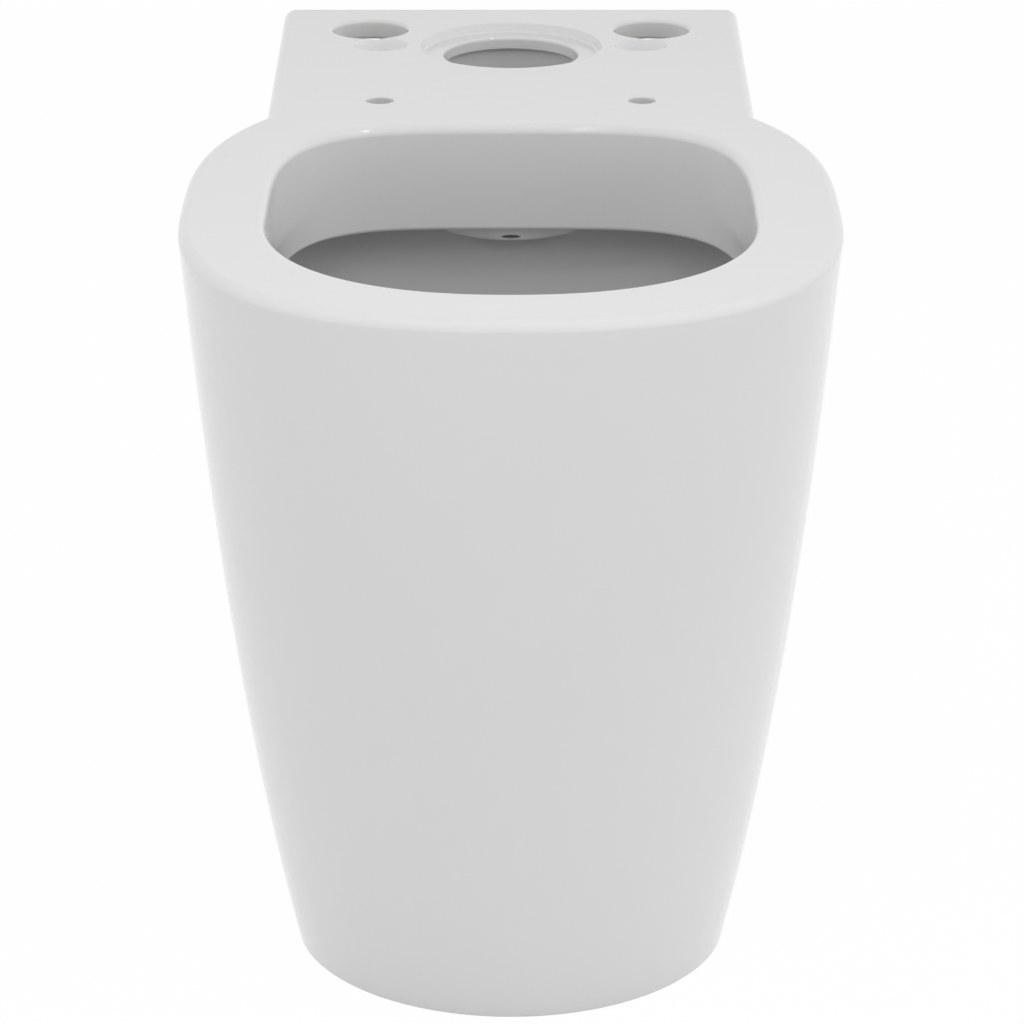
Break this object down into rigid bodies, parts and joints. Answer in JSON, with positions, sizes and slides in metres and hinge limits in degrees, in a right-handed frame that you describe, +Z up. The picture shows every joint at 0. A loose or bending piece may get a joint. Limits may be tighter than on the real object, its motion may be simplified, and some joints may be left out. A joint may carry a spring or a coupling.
{
  "type": "raised-height toilet pan",
  "caption": "Raised-height close-coupled toilet pan with a skirt back to the wall, a flushing rim, cistern deck, trap and side fixings.",
  "frame": {"origin": "on the floor, under the middle of the pan's length and width", "axes": "+Z up, -Y towards the front of the bowl, +Y towards the wall, +X to the right for someone facing the pan"},
  "size_m": [0.364, 0.664, 0.45],
  "materials": {
    "glazed_china": "clear gloss glaze over white china",
    "biscuit_china": "matt unglazed china",
    "fixing_steel": "zinc plated steel",
    "fixing_plastic": "moulded nylon",
    "cap_plastic": "white gloss moulding"
  },
  "bodies": {
    "pan": {"rim_ring": "glazed_china", "cistern_deck": "glazed_china", "skirt_shell": "glazed_china", "rim_collar": "glazed_china", "bowl_basin": "glazed_china", "rim_channel_floor": "glazed_china", "jet_nose": "glazed_china", "flush_chamber": "glazed_china", "sump_cup": "glazed_china", "trap_upleg": "glazed_china", "trap_downleg": "glazed_china", "outlet_spigot": "biscuit_china", "floor_bracket_left": "fixing_steel", "bracket_nut_left": "fixing_plastic", "side_bush_left": "fixing_plastic", "side_washer_left": "fixing_steel", "side_screw_left": "fixing_steel", "floor_bracket_right": "fixing_steel", "bracket_nut_right": "fixing_plastic", "side_bush_right": "fixing_plastic", "side_washer_right": "fixing_steel", "side_screw_right": "fixing_steel"},
    "left_cap": {"cover_cap_left": "cap_plastic"},
    "right_cap": {"cover_cap_right": "cap_plastic"}
  },
  "joints": [
    {"name": "left_cap_pull", "type": "slide", "parent": "pan", "child": "left_cap", "axis": [-1, 0, 0], "range_m": [0, 0.02]},
    {"name": "right_cap_pull", "type": "slide", "parent": "pan", "child": "right_cap", "axis": [1, 0, 0], "range_m": [0, 0.02]}
  ]
}
